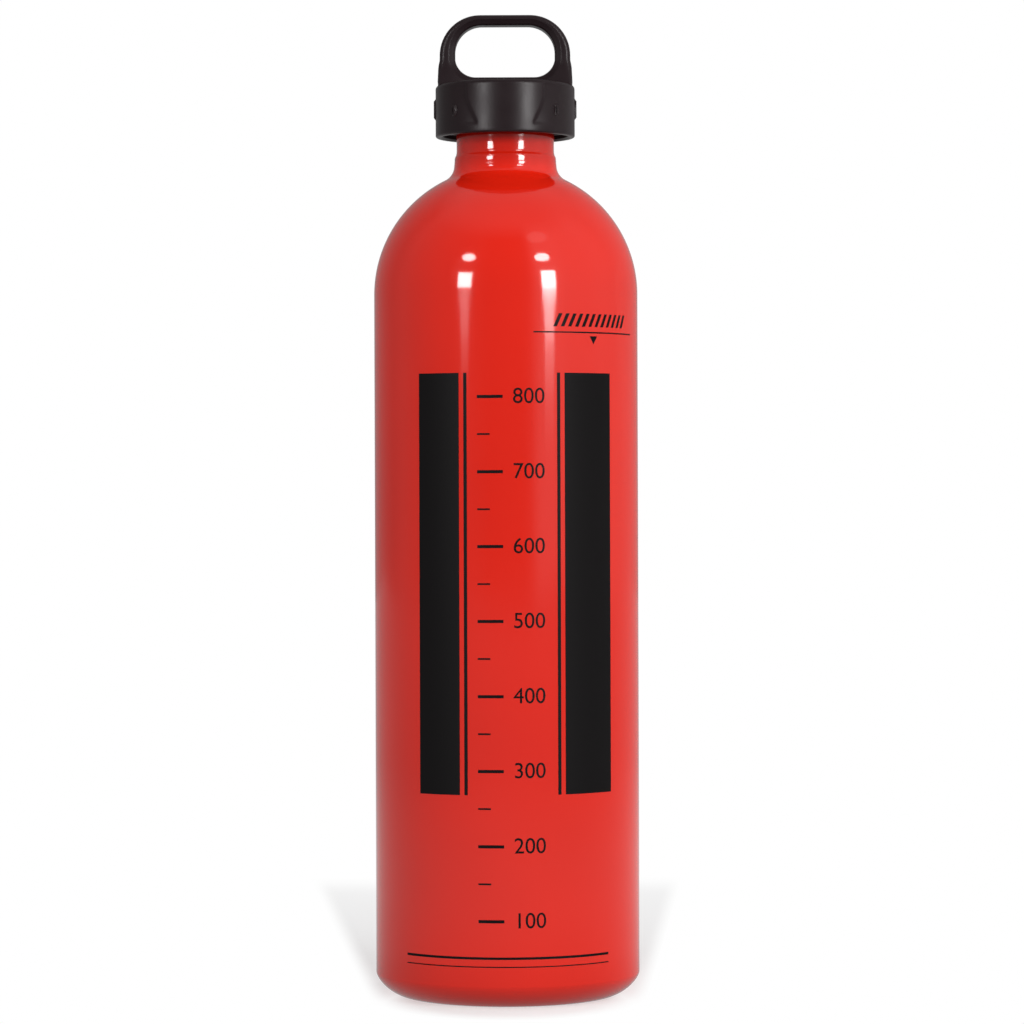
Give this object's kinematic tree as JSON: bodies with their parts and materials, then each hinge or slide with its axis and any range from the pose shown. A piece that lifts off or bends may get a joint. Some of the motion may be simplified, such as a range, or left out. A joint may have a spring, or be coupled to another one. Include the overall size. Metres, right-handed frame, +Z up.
{
  "type": "camping fuel bottle",
  "caption": "Tall cylindrical metal fuel bottle with a domed shoulder, a short threaded neck and a push-and-turn cap that carries a finger loop.",
  "frame": {"origin": "centre of the base, on the ground", "axes": "+Z up along the bottle, -Y to the front, the carrying loop lies in the XZ plane"},
  "size_m": [0.0785, 0.0784, 0.2916],
  "materials": {
    "bottle": "gloss red lacquer",
    "inner_cap": "moulded",
    "sealing_ring": "smooth",
    "wave_spring": "bright strip",
    "outer_cap": "fine moulded texture"
  },
  "bodies": {
    "bottle": {"bottle": "bottle"},
    "seal": {"sealing_ring": "sealing_ring"},
    "inner_cap": {"inner_cap": "inner_cap"},
    "spring": {"wave_spring": "wave_spring"},
    "outer_cap": {"outer_cap": "outer_cap"}
  },
  "joints": [
    {"name": "cap_rise", "type": "slide", "parent": "bottle", "child": "seal", "axis": [0, 0, 1], "range_m": [0, 0.015]},
    {"name": "cap_unscrew", "type": "hinge", "parent": "seal", "child": "inner_cap", "pos_m": [0, 0, 0.263], "axis": [0, 0, 1], "range_deg": [0, 1800]},
    {"name": "ratchet_spin", "type": "hinge", "parent": "inner_cap", "child": "spring", "pos_m": [0, 0, 0.2665], "axis": [0, 0, 1], "continuous": true},
    {"name": "cap_push", "type": "slide", "parent": "spring", "child": "outer_cap", "axis": [0, 0, -1], "range_m": [0, 0.0014], "stiffness_N_per_m": 8000, "springref_m": -0.001, "deforming": ["wave_spring"]}
  ],
  "couplings": [
    {"joint": "cap_unscrew", "follows": "cap_rise", "rad_per_m": 2094.4}
  ]
}
